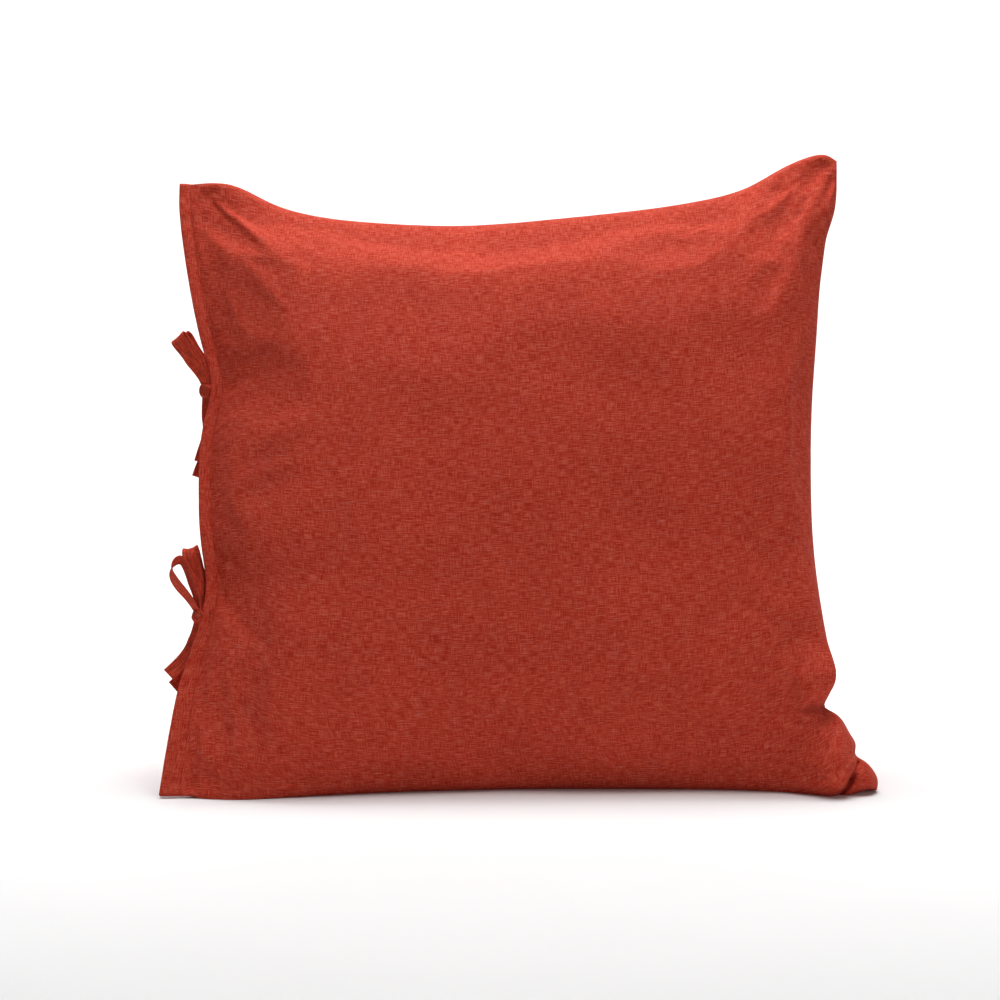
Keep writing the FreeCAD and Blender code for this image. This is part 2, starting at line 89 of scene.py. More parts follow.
def curve_through(points, shares):
    """Points of a natural cubic spline through the given ones, at shares of its length from 0 to 1."""
    points = np.array(points, float)
    steps = np.linalg.norm(np.diff(points, axis=0), axis=1)
    at = np.concatenate([[0.0], np.cumsum(steps)])
    count = len(points)
    matrix = np.zeros((count, count))
    right = np.zeros((count, points.shape[1]))
    matrix[0, 0] = matrix[-1, -1] = 1.0
    for i in range(1, count - 1):
        matrix[i, i - 1] = steps[i - 1]
        matrix[i, i] = 2 * (steps[i - 1] + steps[i])
        matrix[i, i + 1] = steps[i]
        slope_after = (points[i + 1] - points[i]) / steps[i]
        slope_before = (points[i] - points[i - 1]) / steps[i - 1]
        right[i] = 6 * (slope_after - slope_before)
    second = np.linalg.solve(matrix, right)
    where = np.clip(np.asarray(shares, float), 0, 1) * at[-1]
    span = np.clip(np.searchsorted(at, where, side="right") - 1, 0, count - 2)
    width = steps[span][:, None]
    before = (at[span + 1][:, None] - where[:, None]) / width
    after = 1 - before
    bend = (before**3 - before) * second[span] + (after**3 - after) * second[span + 1]
    return before * points[span] + after * points[span + 1] + bend * width**2 / 6


def smooth_step(value, low, high):
    """0 below low, 1 above high and a smooth rise between."""
    t = np.clip((np.asarray(value, float) - low) / (high - low), 0, 1)
    return t * t * (3 - 2 * t)


# ---------------------------------------------------------------- the crowned panels

ACROSS = 180
UPWARD = 190
PANEL_SPAN = 560.0
SETTLE_DEPTH = 15.0
SETTLE_HEIGHT = 110.0
FRONT_WEAVE_START = 1.0
BACK_WEAVE_START = 3.0


def hem_width(shares):
    """Width of the opening hem from the bottom (share 0) to the top (share 1)."""
    return HEM_WIDTH_LOW + (HEM_WIDTH - HEM_WIDTH_LOW) * smooth_step(shares, 0.05, 0.32)


def middle_surface():
    """The surface halfway between the panels, as a grid of points from the four edges."""
    s = np.linspace(0, 1, ACROSS + 1)
    t = np.linspace(0, 1, UPWARD + 1)
    u = (1 - np.cos(np.pi * s)) / 2
    v = (1 - np.cos(np.pi * t)) / 2
    left = curve_through(LEFT_EDGE, v)
    left[:, 0] += hem_width(v) - 1.5
    right = curve_through(RIGHT_EDGE, v)
    top = curve_through(TOP_EDGE, u)
    bottom = curve_through(BOTTOM_EDGE, u)
    for line, side in ((top, -1), (bottom, 0)):
        line += (1 - u)[:, None] * (left[side] - line[0]) + u[:, None] * (right[side] - line[-1])
    uu = u[:, None, None]
    vv = v[None, :, None]
    across = left[None] * (1 - uu) + right[None] * uu
    upward = bottom[:, None] * (1 - vv) + top[:, None] * vv
    corners = (left[0] * (1 - uu) + right[0] * uu) * (1 - vv) + (left[-1] * (1 - uu) + right[-1] * uu) * vv
    return across + upward - corners, s, t, u, v


def fullness(s, t):
    """Share of the crown at each grid point: 0 on the seams, most below the middle, gentler at the hems."""
    sunk = t ** 0.74
    blunt = 0.5 + 0.5 * t
    gentle = 0.82 + 1.0 * (1 - smooth_step(s, 0.02, 0.34))
    sideways = np.clip(np.sin(np.pi * s), 0, 1) ** gentle
    upright = np.clip(np.sin(np.pi * sunk), 0, 1) ** blunt
    return sideways[:, None] * upright[None, :]


def edge_distances(u, v):
    """Rough distance in millimetres from each grid point to the nearest seam."""
    return PANEL_SPAN * np.minimum.outer(np.minimum(u, 1 - u), np.minimum(v, 1 - v))


def settle(points, u):
    """Flatten the bottom on the floor, as the weight of the filling does, but not the side edges."""
    height = points[..., 2]
    side_distance = PANEL_SPAN * np.minimum(u, 1 - u)[:, None]
    near_floor = 1 - smooth_step(height, 0, SETTLE_HEIGHT)
    loss = SETTLE_DEPTH * near_floor * smooth_step(side_distance, 4, 45)
    points[..., 2] = np.maximum(height - loss, 0.0)
    return points


def to_segment(points, start, end):
    """Distance in the XZ plane from a segment, and the share of the way along it."""
    a = np.array(start, float)
    b = np.array(end, float)
    flat = points[..., [0, 2]] - a
    way = b - a
    share = np.clip((flat @ way) / (way @ way), 0, 1)
    gap = np.linalg.norm(flat - share[..., None] * way, axis=-1)
    return gap, share


# Folds of each panel: start and end as (x, z), depth inward and half width.
FRONT_FOLDS = [
    ((254, 67), (218, 84), 6.0, 7.5),
    ((254, 67), (234, 58), 2.5, 7.0),
    ((258, 138), (222, 126), 3.0, 9.0),
    ((280, 29), (272, 20), 10.0, 3.2),
    ((272, 20), (265, 12), 12.0, 3.2),
    ((265, 12), (228, 3), 11.0, 3.6),
    ((267, 46), (268, 33), 3.5, 3.5),
    ((262, 440), (246, 462), 3.0, 6.0),
    ((272, 505), (244, 462), 4.0, 5.0),
    ((262, 518), (222, 476), 3.5, 7.0),
    ((-280, 486), (-250, 440), 1.6, 9.0),
    ((-262, 492), (-215, 466), 1.8, 10.0),
    ((-252, 331), (-206, 340), 3.0, 9.0),
    ((-252, 326), (-214, 306), 2.2, 8.0),
    ((-250, 162), (-202, 170), 3.0, 9.0),
    ((-252, 156), (-212, 134), 2.6, 9.0),
    ((-272, 12), (-206, 62), 3.0, 12.0),
    ((-269, 8), (-256, 128), 4.5, 6.0),
]
BACK_FOLDS = [
    ((257, 66), (205, 92), 6.0, 10.0),
    ((280, 20), (215, 58), 5.0, 12.0),
    ((-280, 14), (-214, 56), 5.0, 12.0),
    ((271, 516), (226, 452), 5.0, 9.0),
    ((-284, 492), (-236, 430), 4.5, 10.0),
    ((-252, 331), (-200, 338), 3.5, 9.0),
    ((-250, 161), (-198, 158), 3.5, 9.0),
    ((-120, 466), (-100, 400), 2.0, 10.0),
    ((90, 478), (70, 405), 2.0, 10.0),
]

# Local swellings: centre as (x, z), radius and the push in millimetres along x, y and z.
FRONT_SWELLS = [
    ((255, 36), 20.0, (4.0, -16.0, 1.0)),
    ((288, 12), 9.0, (1.0, -4.0, 0.0)),
    ((252, 98), 24.0, (6.0, -8.0, 0.0)),
    ((-272, 40), 26.0, (-1.0, -5.0, 0.0)),
]
BACK_SWELLS = [
    ((257, 440), 20.0, (7.0, 3.0, 0.0)),
    ((250, 90), 26.0, (6.0, 4.0, 0.0)),
]


def wrinkle(points, edge_distance, seed):
    """Soft unevenness of filled cloth, with small puckers close to the seams."""
    flat = points.reshape(-1, 3)
    broad = np.empty(len(flat))
    for k, point in enumerate(flat):
        place = Vector((point[0] / 95 + seed, point[2] / 80, seed))
        fine = Vector((point[0] / 26, point[2] / 24 + seed, seed))
        broad[k] = 2.6 * noise.noise(place) + 0.55 * noise.noise(fine)
    broad = broad.reshape(points.shape[:-1])
    pucker = np.sin(points[..., 0] / 3.1 + 4 * np.sin(points[..., 2] / 23))
    pucker += np.sin(points[..., 2] / 2.7 + 4 * np.sin(points[..., 0] / 29))
    near = np.exp(-((edge_distance - 5) / 6) ** 2)
    return broad * smooth_step(edge_distance, 0, 30) + 0.28 * pucker * near


def panel_points(sign):
    """The outer face of the front (1) or back (-1) panel as a grid of points, and its shares across."""
    middle, s, t, u, v = middle_surface()
    crown = FRONT_CROWN if sign > 0 else BACK_CROWN
    points = middle + FORWARD * (sign * crown * fullness(s, t))[..., None]
    to_hem = np.exp(-((u / 0.05) ** 2))[:, None, None]
    points += EDGE_FORWARD * (sign * HEM_RISE) * to_hem
    edge_distance = edge_distances(u, v)
    inside = smooth_step(edge_distance, 0, 9)
    for start, end, depth, half in FRONT_FOLDS if sign > 0 else BACK_FOLDS:
        gap, share = to_segment(points, start, end)
        fade = np.clip(1.15 - share, 0, 1)
        push = depth * fade * np.exp(-((gap / half) ** 2)) * inside
        points -= FORWARD * (sign * push)[..., None]
    for centre, radius, push in FRONT_SWELLS if sign > 0 else BACK_SWELLS:
        gap, _ = to_segment(points, centre, (centre[0] + 0.1, centre[1]))
        swell = np.exp(-((gap / radius) ** 2)) * inside
        points += np.array(push) * swell[..., None]
    points += FORWARD * (sign * wrinkle(points, edge_distance, 3.7 * sign))[..., None]
    return settle(points, u), u


def grid_object(name, points, uv, flip=False):
    """A mesh from a grid of points in millimetres, with cloth coordinates in metres as its UV map."""
    rows, columns = points.shape[:2]
    index = np.arange(rows * columns).reshape(rows, columns)
    quads = np.stack([index[:-1, :-1], index[1:, :-1], index[1:, 1:], index[:-1, 1:]], axis=-1).reshape(-1, 4)
    if flip:
        quads = quads[:, ::-1]
    mesh = bpy.data.meshes.new(name)
    mesh.from_pydata((points.reshape(-1, 3) * MM).tolist(), [], quads.tolist())
    layer = mesh.uv_layers.new(name="cloth")
    flat = np.asarray(uv).reshape(-1, 2)
    loops = np.empty(len(mesh.loops), np.int32)
    mesh.loops.foreach_get("vertex_index", loops)
    layer.data.foreach_set("uv", flat[loops].astype(np.float32).ravel())
    mesh.shade_smooth()
    piece = bpy.data.objects.new(name, mesh)
    bpy.context.scene.collection.objects.link(piece)
    return piece


def cloth_coordinates(points, start):
    """Cloth coordinates in metres, measured along the cloth itself from the panel's middle."""
    u = np.zeros(points.shape[:2])
    v = np.zeros(points.shape[:2])
    u[1:] = np.cumsum(np.linalg.norm(np.diff(points, axis=0), axis=2), axis=0)
    v[:, 1:] = np.cumsum(np.linalg.norm(np.diff(points, axis=1), axis=2), axis=1)
    u -= u[ACROSS // 2]
    v -= v[:, [UPWARD // 2]]
    return np.stack([u, v], axis=-1) * MM + start


# ---------------------------------------------------------------- cloth simulation

PUFF_FRAMES = 14
PUFF_LIMIT = 5.0


def puff_up(panels):
    """Let filled cloth find its own small wrinkles: both panels as one bag, held at the seams."""
    front, back = panels
    rows, columns = front.shape[:2]
    border = np.zeros((rows, columns), bool)
    border[[0, -1], :] = True
    border[:, [0, -1]] = True
    front_index = np.arange(rows * columns).reshape(rows, columns)
    back_index = front_index.copy()
    back_index[~border] = rows * columns + np.arange((~border).sum())
    points = np.vstack([front.reshape(-1, 3), back[~border]])
    faces = []
    for index, turned in ((front_index, False), (back_index, True)):
        quads = np.stack([index[:-1, :-1], index[1:, :-1], index[1:, 1:], index[:-1, 1:]], axis=-1)
        quads = quads.reshape(-1, 4)
        faces.append(quads[:, ::-1] if turned else quads)
    mesh = bpy.data.meshes.new("bag")
    mesh.from_pydata((points * MM).tolist(), [], np.vstack(faces).tolist())
    bag = bpy.data.objects.new("bag", mesh)
    bpy.context.scene.collection.objects.link(bag)
    held = bag.vertex_groups.new(name="held")
    low = points[:, 2] < 4.0
    fixed = np.concatenate([border.ravel(), np.zeros(len(points) - rows * columns, bool)]) | low
    held.add(np.nonzero(fixed)[0].tolist(), 1.0, "REPLACE")
    modifier = bag.modifiers.new("cloth", "CLOTH")
    settings = modifier.settings
    settings.quality = 6
    settings.mass = 0.25
    settings.tension_stiffness = 18
    settings.compression_stiffness = 18
    settings.shear_stiffness = 6
    settings.bending_stiffness = 0.6
    settings.use_pressure = True
    settings.uniform_pressure_force = 1.2
    settings.shrink_min = -0.010
    settings.shrink_max = -0.010
    settings.vertex_group_mass = "held"
    settings.effector_weights.gravity = 0.0
    modifier.collision_settings.use_collision = False
    modifier.point_cache.frame_end = PUFF_FRAMES
    scene = bpy.context.scene
    for number in range(1, PUFF_FRAMES + 1):
        scene.frame_set(number)
    evaluated = bag.evaluated_get(bpy.context.evaluated_depsgraph_get())
    moved = np.empty(len(points) * 3, np.float32)
    evaluated.data.vertices.foreach_get("co", moved)
    scene.frame_set(1)
    shift = moved.reshape(-1, 3) / MM - points
    length = np.linalg.norm(shift, axis=1, keepdims=True)
    shift *= np.minimum(1.0, PUFF_LIMIT / np.maximum(length, 1e-6))
    rim = 1 - np.maximum.outer(
        np.abs(np.linspace(-1, 1, rows)), np.abs(np.linspace(-1, 1, columns))
    )
    rim = smooth_step(rim, 0.05, 0.3)
    shift *= np.concatenate([rim.ravel(), rim[~border]])[:, None]
    result = points + shift
    result[:, 2] = np.maximum(result[:, 2], 0.0)
    bpy.data.objects.remove(bag)
    bpy.data.meshes.remove(mesh)
    return result[front_index], result[back_index]


# ---------------------------------------------------------------- linen and thread materials

class Nodes:
    """A small helper to build a node material."""

    def __init__(self, name):
        self.material = bpy.data.materials.new(name)
        self.material.use_nodes = True
        self.tree = self.material.node_tree
        self.tree.nodes.clear()

    def add(self, kind, **values):
        node = self.tree.nodes.new(kind)
        for key, value in values.items():
            if key in node.inputs:
                node.inputs[key].default_value = value
            else:
                setattr(node, key, value)
        return node

    def link(self, source, target):
        self.tree.links.new(source, target)

    def math(self, operation, first, second):
        node = self.add("ShaderNodeMath", operation=operation)
        for socket, value in zip(node.inputs, (first, second)):
            if isinstance(value, (int, float)):
                socket.default_value = value
            else:
                self.link(value, socket)
        return node.outputs[0]


def streaks(nodes, vector, scale, detail=2.0):
    """Noise drawn out along one direction of the cloth."""
    mapping = nodes.add("ShaderNodeMapping")
    mapping.inputs["Scale"].default_value = scale
    nodes.link(vector, mapping.inputs["Vector"])
    texture = nodes.add("ShaderNodeTexNoise", Scale=1.0, Detail=detail, Roughness=0.6)
    nodes.link(mapping.outputs["Vector"], texture.inputs["Vector"])
    return texture.outputs["Fac"]


def linen(name, colour, pale, dark, coordinates="UV"):
    """Plain-woven linen: crossing threads of uneven thickness, slubs, and a soft mottled dye."""
    fleck_colour = [0.88 * channel + 0.06 for channel in pale[:3]] + [1.0]
    nodes = Nodes(name)
    place = nodes.add("ShaderNodeTexCoord").outputs[coordinates]
    warp = streaks(nodes, place, (1500.0, 110.0, 60.0))
    weft = streaks(nodes, place, (110.0, 1500.0, 60.0))
    slub = streaks(nodes, place, (70.0, 1200.0, 40.0), detail=1.0)
    mottle = streaks(nodes, place, (16.0, 20.0, 18.0), detail=4.0)
    threads = nodes.math("ADD", nodes.math("MULTIPLY", warp, 0.42), nodes.math("MULTIPLY", weft, 0.58))
    ramp = nodes.add("ShaderNodeValToRGB")
    ramp.color_ramp.elements[0].position = 0.40
    ramp.color_ramp.elements[0].color = dark
    ramp.color_ramp.elements[1].position = 0.60
    ramp.color_ramp.elements[1].color = pale
    middle = ramp.color_ramp.elements.new(0.5)
    middle.color = colour
    nodes.link(threads, ramp.inputs["Fac"])
    fleck = nodes.add("ShaderNodeMapRange", clamp=True)
    fleck.inputs["From Min"].default_value = 0.60
    fleck.inputs["From Max"].default_value = 0.74
    fleck.inputs["To Max"].default_value = 0.55
    nodes.link(slub, fleck.inputs["Value"])
    flecked = nodes.add("ShaderNodeMix", data_type="RGBA", blend_type="MIX")
    nodes.link(fleck.outputs["Result"], flecked.inputs["Factor"])
    nodes.link(ramp.outputs["Color"], flecked.inputs[6])
    flecked.inputs[7].default_value = fleck_colour
    tone = nodes.add("ShaderNodeMapRange")
    tone.inputs["To Min"].default_value = 0.86
    tone.inputs["To Max"].default_value = 1.14
    nodes.link(mottle, tone.inputs["Value"])
    shade = nodes.add("ShaderNodeVectorMath", operation="SCALE")
    nodes.link(flecked.outputs[2], shade.inputs[0])
    nodes.link(tone.outputs["Result"], shade.inputs["Scale"])
    rough = nodes.add("ShaderNodeMapRange")
    rough.inputs["To Min"].default_value = 0.8
    rough.inputs["To Max"].default_value = 0.98
    nodes.link(threads, rough.inputs["Value"])
    height = nodes.math("ADD", threads, nodes.math("MULTIPLY", fleck.outputs["Result"], 0.5))
    bump = nodes.add("ShaderNodeBump", Strength=0.55, Distance=0.0006)
    nodes.link(height, bump.inputs["Height"])
    shader = nodes.add("ShaderNodeBsdfPrincipled")
    shader.inputs["Specular IOR Level"].default_value = 0.18
    shader.inputs["Sheen Weight"].default_value = 0.22
    shader.inputs["Sheen Roughness"].default_value = 0.45
    shader.inputs["Sheen Tint"].default_value = pale
    nodes.link(shade.outputs["Vector"], shader.inputs["Base Color"])
    nodes.link(rough.outputs["Result"], shader.inputs["Roughness"])
    nodes.link(bump.outputs["Normal"], shader.inputs["Normal"])
    output = nodes.add("ShaderNodeOutputMaterial")
    nodes.link(shader.outputs["BSDF"], output.inputs["Surface"])
    return nodes.material


def tint(red, green, blue, factor):
    """A linear colour made lighter or darker by a factor."""
    return (red * factor, green * factor, blue * factor, 1.0)


RUST = (0.45, 0.043, 0.019)
linen_rust = linen(
    "linen_rust", (0.445, 0.035, 0.014, 1), (0.57, 0.096, 0.058, 1), (0.33, 0.014, 0.004, 1)
)
linen_tie = linen("linen_tie", tint(*RUST, 0.95), tint(*RUST, 1.35), tint(*RUST, 0.62))
# The knot uses the tie linen made darker (0.8 against 0.95 of the rust, with darker pale and dark threads):
# painted shade for the crumpled knot, not a different cloth.
linen_knot_painted_shade = linen("linen_knot_painted_shade", tint(*RUST, 0.8), tint(*RUST, 1.15), tint(*RUST, 0.52), "Object")
thread_rust = linen("thread_rust", tint(*RUST, 0.9), tint(*RUST, 1.2), tint(*RUST, 0.6), "Object")
cotton = linen("cotton", (0.80, 0.76, 0.68, 1), (0.88, 0.85, 0.78, 1), (0.68, 0.64, 0.57, 1))


def finish_piece(piece, material, body, slot, *nodes):
    """Give a piece its material and body, and hide the CAD nodes it stands for."""
    piece.data.materials.append(material)
    if body:
        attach(piece, body)
    if nodes:
        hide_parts(*nodes)
    return piece


# ---------------------------------------------------------------- cover

front_points, u_shares = panel_points(1)
back_points, _ = panel_points(-1)
front_points, back_points = puff_up((front_points, back_points))
front_uv = cloth_coordinates(front_points, FRONT_WEAVE_START)
back_uv = cloth_coordinates(back_points, BACK_WEAVE_START)
cover_front = grid_object("cover_front", front_points, front_uv)
cover_back = grid_object("cover_back", back_points, back_uv, flip=True)
finish_piece(cover_front, linen_rust, "cushion", "linen", "front_panel")
finish_piece(cover_back, linen_rust, "cushion", "linen", "back_panel")


INSERT_MARGIN = 24  # grid rows left free between the insert and the seams


def insert_surface(points, middle):
    """The insert's face: the cover's own face, less a margin of cloth and a thickness of air."""
    margin = slice(INSERT_MARGIN, -INSERT_MARGIN)
    rows, columns = points[margin, margin].shape[:2]
    across = np.minimum(np.arange(rows), np.arange(rows)[::-1])
    upward = np.minimum(np.arange(columns), np.arange(columns)[::-1])
    full = 0.9 * smooth_step(np.minimum.outer(across, upward), -1, 20)
    full[[0, -1]] = 0
    full[:, [0, -1]] = 0
    inner = middle[margin, margin] + (points - middle)[margin, margin] * full[..., None]
    inner[..., 2] = np.maximum(inner[..., 2], 3.0)
    return inner[::2, ::2]


def build_insert():
    """The pillow inside the cover, of pale cotton, with both its faces in one piece."""
    middle = settle(middle_surface()[0], u_shares)
    front = insert_surface(front_points, middle)
    back = insert_surface(back_points, middle)
    uv = front_uv[: 2 * front.shape[0] : 2, : 2 * front.shape[1] : 2]
    faces = [grid_object("insert_pillow", front, uv), grid_object("insert_back", back, uv, flip=True)]
    return join(faces)


def join(pieces):
    """Several mesh objects as one, named after the first."""
    with bpy.context.temp_override(
        active_object=pieces[0], selected_editable_objects=pieces, selected_objects=pieces
    ):
        bpy.ops.object.join()
    return pieces[0]


insert = build_insert()
finish_piece(
    insert,
    cotton,
    "cushion",
    "cotton_casing",
    "insert_front_casing",
    "insert_back_casing",
    "insert_fill",
    "insert_closing_stitch",
)

# ---------------------------------------------------------------- tubes, bands and stitches


def frames_along(points):
    """Unit directions along a chain of points."""
    way = np.gradient(points, axis=0)
    return way / np.linalg.norm(way, axis=1, keepdims=True)


def swept(name, points, sections):
    """A capped mesh swept along points: sections[i] is the ring of offsets at points[i]."""
    points = np.asarray(points, float)
    sections = np.asarray(sections, float)
    rings = points[:, None, :] + sections
    count, around = rings.shape[:2]
    index = np.arange(count * around).reshape(count, around)
    after = np.roll(index, -1, axis=1)
    quads = np.stack([index[:-1], after[:-1], after[1:], index[1:]], axis=-1).reshape(-1, 4).tolist()
    quads.append(index[0][::-1].tolist())
    quads.append(index[-1].tolist())
    mesh = bpy.data.meshes.new(name)
    mesh.from_pydata((rings.reshape(-1, 3) * MM).tolist(), [], quads)
    along = np.concatenate([[0.0], np.cumsum(np.linalg.norm(np.diff(points, axis=0), axis=1))]) * MM
    girth = np.concatenate([[0.0], np.cumsum(np.linalg.norm(np.diff(sections[0], axis=0), axis=1))]) * MM
    uv = np.stack(np.meshgrid(along, girth, indexing="ij"), axis=-1)
    layer = mesh.uv_layers.new(name="cloth")
    loops = np.empty(len(mesh.loops), np.int32)
    mesh.loops.foreach_get("vertex_index", loops)
    layer.data.foreach_set("uv", uv.reshape(-1, 2)[loops].astype(np.float32).ravel())
    mesh.shade_smooth()
    piece = bpy.data.objects.new(name, mesh)
    bpy.context.scene.collection.objects.link(piece)
    return piece


def tube(name, points, radius, around=8):
    """A round tube along a chain of points."""
    points = np.asarray(points, float)
    way = frames_along(points)
    side = np.cross(way, np.array([0.0, 1.0, 0.02]))
    side /= np.linalg.norm(side, axis=1, keepdims=True)
    other = np.cross(way, side)
    angles = np.linspace(0, 2 * np.pi, around, endpoint=False)
    ring = side[:, None] * np.cos(angles)[None, :, None] + other[:, None] * np.sin(angles)[None, :, None]
    return swept(name, points, ring * radius)


def build_seams():
    """The closed seams: a narrow ridge of cloth where the two panels are turned out."""
    edges = (
        ("top_seam", front_points[:, -1], (0.0, 0.8, -0.7), "top_seam_thread"),
        ("side_seam", front_points[-1, :], (-0.6, 0.4, 0.0), "side_seam_thread"),
        ("bottom_seam", front_points[:, 0], (0.0, 0.0, 0.0), "bottom_seam_thread"),
    )
    for name, line, sink, node in edges:
        line = line[2:-2] + np.array(sink)
        line[:, 2] = np.maximum(line[:, 2], 0.6)
        piece = tube(name, line, 0.55)
        finish_piece(piece, linen_rust, "cushion", "thread", node)


build_seams()

HEM_SECTION = [
    # share of the width, height over the hem's inner face; from the outer fold to the inner edge
    (0.00, 0.45), (0.00, 1.00), (0.025, 1.45), (0.08, 1.75), (0.30, 1.95), (0.55, 1.95),
    (0.72, 1.80), (0.79, 1.45), (0.83, 1.30), (0.87, 1.45), (0.93, 1.75), (0.985, 1.65),
    (1.00, 1.20), (1.00, 0.00), (0.50, 0.00), (0.06, 0.00),
]
STITCH_PLACE = 0.83  # share of the hem's width
STITCH_GROOVE = 8  # index of that place in HEM_SECTION
LENGTHWISE = 260


def hem_line(offset):
    """Points of the opening edge, moved across by a share of the hem's width."""
    shares = np.linspace(0, 1, LENGTHWISE)
    line = curve_through(LEFT_EDGE, shares)
    width = hem_width(shares)
    line[:, 0] += offset * width
    return line, width


def hem_wave(line, sign):
    """Slight waviness of the folded hem, in millimetres towards its own side."""
    wave = np.array([noise.noise(Vector((z / 34 + 9 * sign, z / 11, sign))) for z in line[:, 2]])
    return 0.9 * wave


def opening_gap(line):
    """How far each hem stands off the middle: little at the bows and corners, more between."""
    height = line[:, 2]
    gap = 0.6 * np.ones(len(height))
    for centre, reach, most in ((245, 55, 1.8), (415, 50, 1.0), (80, 40, 1.4)):
        gap += most * np.exp(-(((height - centre) / reach) ** 2))
    return gap


def build_hem(side, sign):
    """One folded hem of the opening, with the groove that its stitches draw."""
    line, width = hem_line(0.0)
    stand = HEM_HALF + opening_gap(line) + hem_wave(line, sign)
    section = np.array(HEM_SECTION)
    rings = np.zeros((LENGTHWISE, len(section), 3))
    rings[..., 0] = section[None, :, 0] * width[:, None]
    fade = 1 - smooth_step(section[:, 0], 0.15, 1.0)
    away = stand[:, None] * fade[None, :] + HEM_HALF * (1 - fade[None, :]) * 0.6
    away = away + section[None, :, 1] - 0.8
    rings += away[..., None] * EDGE_FORWARD * sign
    if sign < 0:
        rings = rings[:, ::-1]
    piece = swept(f"{side}_hem_fold", line, rings)
    finish_piece(piece, linen_rust, "cushion", "linen_hem", f"{side}_hem")
    return away[:, STITCH_GROOVE]


def stitch(start, end, radius, lift):
    """Points and rings of one short stitch that dips into the cloth at both ends."""
    shares = np.array([0.0, 0.25, 0.5, 0.75, 1.0])
    centre = start[None] + (end - start)[None] * shares[:, None]
    centre = centre + lift[None] * (np.sin(np.pi * shares) * 0.45 - 0.2)[:, None]
    return centre, radius * np.array([0.55, 0.95, 1.0, 0.95, 0.55])


def stitches(name, starts, ends, lifts, radius=0.33, around=6):
    """Many short stitches as one piece."""
    vertices = []
    faces = []
    angles = np.linspace(0, 2 * np.pi, around, endpoint=False)
    for start, end, lift in zip(starts, ends, lifts):
        centre, radii = stitch(start, end, radius, lift)
        way = (end - start) / np.linalg.norm(end - start)
        side = np.cross(way, lift)
        side /= np.linalg.norm(side)
        up = np.cross(side, way)
        base = len(vertices)
        for middle, size in zip(centre, radii):
            for angle in angles:
                vertices.append(middle + size * (side * math.cos(angle) + up * math.sin(angle)))
        for ring in range(len(centre) - 1):
            for k in range(around):
                a = base + ring * around + k
                b = base + ring * around + (k + 1) % around
                faces.append((a, b, b + around, a + around))
        last = base + (len(centre) - 1) * around
        faces.append(tuple(range(base + around - 1, base - 1, -1)))
        faces.append(tuple(range(last, last + around)))
    mesh = bpy.data.meshes.new(name)
    mesh.from_pydata((np.array(vertices) * MM).tolist(), [], faces)
    mesh.shade_smooth()
    piece = bpy.data.objects.new(name, mesh)
    bpy.context.scene.collection.objects.link(piece)
    return piece


STITCH_PITCH = 3.1
STITCH_LENGTH = 2.3


def build_topstitch(side, sign, away):
    """The line of stitches that holds one hem down."""
    line, _ = hem_line(STITCH_PLACE)
    line = line + (away[:, None] + 0.15) * EDGE_FORWARD * sign
    lengths = np.concatenate([[0.0], np.cumsum(np.linalg.norm(np.diff(line, axis=0), axis=1))])
    begins = np.arange(4.0, lengths[-1] - 6.0, STITCH_PITCH)

    def at(distance):
        return np.stack([np.interp(distance, lengths, line[:, k]) for k in range(3)], axis=-1)

    lifts = np.repeat((EDGE_FORWARD * sign)[None], len(begins), axis=0)
    piece = stitches(f"{side}_hem_stitches", at(begins), at(begins + STITCH_LENGTH), lifts)
    finish_piece(piece, thread_rust, "cushion", "thread", f"{side}_hem_thread")


for side, sign in (("front", 1), ("back", -1)):
    build_topstitch(side, sign, build_hem(side, sign))

# ---------------------------------------------------------------- ties and bows

TIE_WIDTH = 12.5
TIE_THICK = 1.1
RIBBON_SECTION = [
    # share of the half width, share of the half thickness; both edges are folded in and stitched
    (-1.00, 0.0), (-0.97, 0.8), (-0.84, 1.15), (-0.70, 0.85), (-0.35, 0.70), (0.35, 0.70), (0.70, 0.85),
    (0.84, 1.15), (0.97, 0.8), (1.00, 0.0), (0.97, -0.8), (0.84, -1.15), (0.70, -0.85), (0.35, -0.70),
    (-0.35, -0.70), (-0.70, -0.85), (-0.84, -1.15), (-0.97, -0.8),
]


def ribbon(name, centre, width_way, widths, samples=90):
    """A flat tie along a smooth line. width_way and widths are given at the line's own points."""
    shares = np.linspace(0, 1, samples)
    line = curve_through(centre, shares)
    given = np.linspace(0, 1, len(width_way))
    way = np.stack([np.interp(shares, given, np.array(width_way)[:, k]) for k in range(3)], axis=-1)
    along = frames_along(line)
    way -= (way * along).sum(axis=1, keepdims=True) * along
    way /= np.linalg.norm(way, axis=1, keepdims=True)
    normal = np.cross(along, way)
    half = np.interp(shares, np.linspace(0, 1, len(widths)), widths) / 2
    section = np.array(RIBBON_SECTION)
    across = section[None, :, 0] * half[:, None]
    curl = 0.05 * (section[None, :, 0] ** 2) * half[:, None]
    up = section[None, :, 1] * TIE_THICK / 2 + curl
    rings = across[..., None] * way[:, None] + up[..., None] * normal[:, None]
    return swept(name, line, rings)


